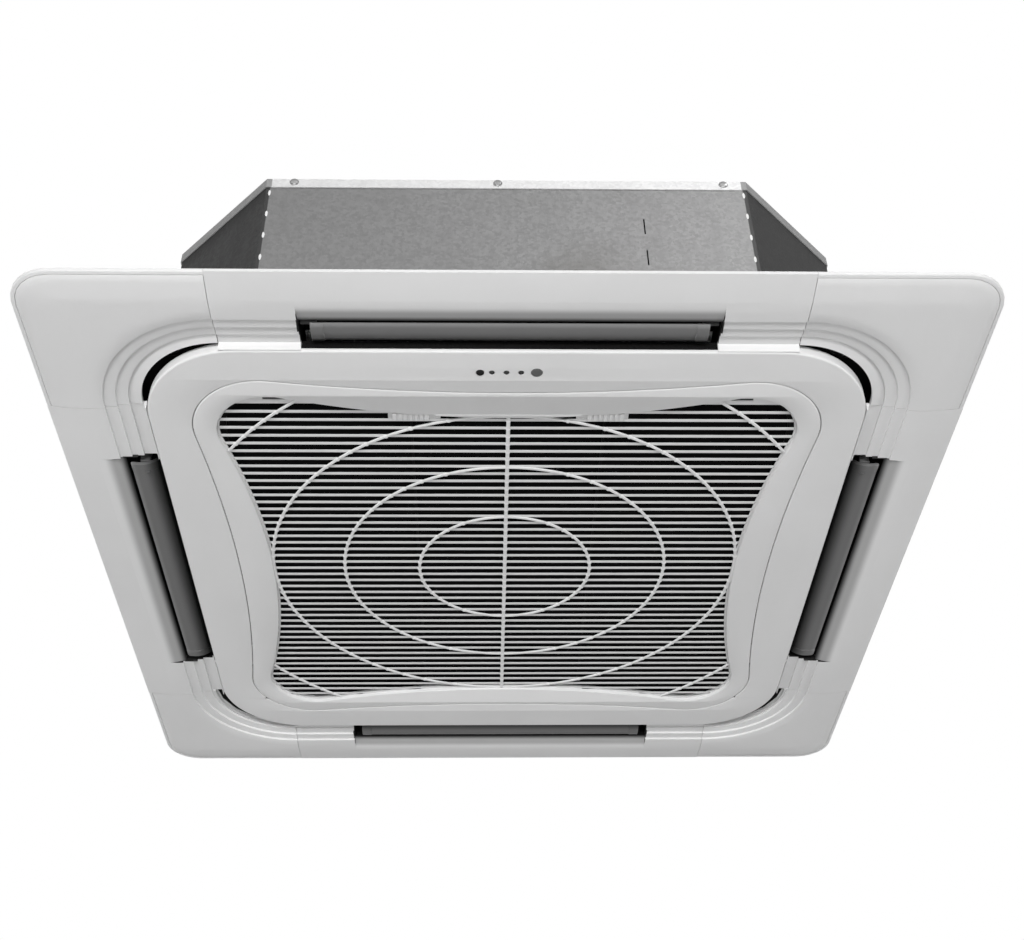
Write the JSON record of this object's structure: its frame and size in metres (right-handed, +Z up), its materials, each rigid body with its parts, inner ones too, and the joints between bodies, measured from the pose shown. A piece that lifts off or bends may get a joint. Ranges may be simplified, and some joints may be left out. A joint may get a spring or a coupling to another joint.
{
  "type": "ceiling cassette air conditioner",
  "caption": "Square ceiling cassette air conditioner: panel with louvred outlets round a hinged waisted intake grille, under a galvanised octagonal casing with fan and coil.",
  "frame": {"origin": "centre of the panel on the ceiling plane, where the back of the panel rim rests", "axes": "+Z up into the ceiling, -Y towards the side with the display, +X to the right for someone who looks along +Y"},
  "size_m": [0.99, 0.99, 0.2758],
  "materials": {
    "panel_frame": "fine matt moulding, black foam behind",
    "corner_cover": "fine matt moulding",
    "centre_frame": "fine matt moulding",
    "duct_foam": "black insulating foam",
    "louvre": "matt dark grey",
    "actuator": "moulded",
    "grille_frame": "fine matt moulding",
    "grille_slats": "fine matt moulding",
    "latch_knob": "ribbed knob",
    "steel": "bright",
    "filter_frame": "dark moulding",
    "filter_mesh": "fine net",
    "board": "printed board",
    "button": "black",
    "light_lens": "smoked",
    "window_lens": "dark infrared window",
    "casing_steel": "zinc coated sheet",
    "white_foam": "expanded foam",
    "bracket_steel": "zinc plated",
    "coil_aluminium": "thin fins",
    "dark_plastic": "moulded",
    "fan_plastic": "moulded",
    "motor_steel": "pressed can",
    "copper": "copper tube",
    "brass": "turned",
    "pump_plastic": "moulded",
    "box_steel": "zinc coated sheet"
  },
  "bodies": {
    "housing": {"panel_frame": "panel_frame", "corner_cover_far_right": "corner_cover", "corner_cover_far_left": "corner_cover", "corner_cover_near_left": "corner_cover", "corner_cover_near_right": "corner_cover", "centre_frame": "centre_frame", "outlet_duct_far": "duct_foam", "outlet_duct_left": "duct_foam", "outlet_duct_near": "duct_foam", "outlet_duct_right": "duct_foam", "louvre_motor_far": "actuator", "louvre_motor_left": "actuator", "louvre_motor_near": "actuator", "louvre_motor_right": "actuator", "louvre_bearing_far": "actuator", "louvre_bearing_left": "actuator", "louvre_bearing_near": "actuator", "louvre_bearing_right": "actuator", "hinge_pin_left": "steel", "hinge_pin_right": "steel", "display_board": "board", "status_light_1": "light_lens", "status_light_2": "light_lens", "status_light_3": "light_lens", "receiver_window": "window_lens", "casing": "casing_steel", "top_plate": "casing_steel", "foam_liner": "white_foam", "drain_pan": "white_foam", "hanging_bracket_far_right": "bracket_steel", "hanging_bracket_far_left": "bracket_steel", "hanging_bracket_near_left": "bracket_steel", "hanging_bracket_near_right": "bracket_steel", "heat_exchanger": "coil_aluminium", "bellmouth": "dark_plastic", "cable_gland": "dark_plastic", "fan_motor": "motor_steel", "gas_pipe": "copper", "liquid_pipe": "copper", "gas_flare_nut": "brass", "liquid_flare_nut": "brass", "drain_pump": "pump_plastic", "drain_outlet": "pump_plastic", "control_box": "box_steel", "control_box_cover": "box_steel"},
    "louvre_far": {"louvre_far": "louvre"},
    "louvre_left": {"louvre_left": "louvre"},
    "louvre_near": {"louvre_near": "louvre"},
    "louvre_right": {"louvre_right": "louvre"},
    "grille": {"grille_frame": "grille_frame", "grille_slats": "grille_slats", "filter_frame": "filter_frame", "filter_mesh": "filter_mesh"},
    "latch_left": {"grille_latch_left": "latch_knob"},
    "latch_right": {"grille_latch_right": "latch_knob"},
    "button": {"emergency_button": "button"},
    "fan": {"turbo_fan": "fan_plastic", "fan_shaft": "steel", "fan_nut": "steel"},
    "float": {"float_switch": "dark_plastic"}
  },
  "joints": [
    {"name": "louvre_far_tilt", "type": "hinge", "parent": "housing", "child": "louvre_far", "pos_m": [0, 0.409, 0.0145], "axis": [-1, 0, 0], "range_deg": [0, 45]},
    {"name": "louvre_left_tilt", "type": "hinge", "parent": "housing", "child": "louvre_left", "pos_m": [-0.409, 0, 0.0145], "axis": [0, -1, 0], "range_deg": [0, 45]},
    {"name": "louvre_near_tilt", "type": "hinge", "parent": "housing", "child": "louvre_near", "pos_m": [0, -0.409, 0.0145], "axis": [1, 0, 0], "range_deg": [0, 45]},
    {"name": "louvre_right_tilt", "type": "hinge", "parent": "housing", "child": "louvre_right", "pos_m": [0.409, 0, 0.0145], "axis": [0, 1, 0], "range_deg": [0, 45]},
    {"name": "grille_hinge", "type": "hinge", "parent": "housing", "child": "grille", "pos_m": [0, 0.308, -0.0047], "axis": [1, 0, 0], "range_deg": [0, 85]},
    {"name": "latch_left_slide", "type": "slide", "parent": "grille", "child": "latch_left", "axis": [1, 0, 0], "range_m": [0, 0.007], "stiffness_N_per_m": 300, "springref_m": -0.004},
    {"name": "latch_right_slide", "type": "slide", "parent": "grille", "child": "latch_right", "axis": [-1, 0, 0], "range_m": [0, 0.007], "stiffness_N_per_m": 300, "springref_m": -0.004},
    {"name": "emergency_button_press", "type": "slide", "parent": "housing", "child": "button", "axis": [0, 0, 1], "range_m": [0, 0.001], "stiffness_N_per_m": 600, "springref_m": -0.001},
    {"name": "fan_spin", "type": "hinge", "parent": "housing", "child": "fan", "pos_m": [0, 0, 0.15], "axis": [0, 0, 1], "continuous": true},
    {"name": "float_rise", "type": "slide", "parent": "housing", "child": "float", "axis": [0, 0, 1], "range_m": [0, 0.015]}
  ]
}
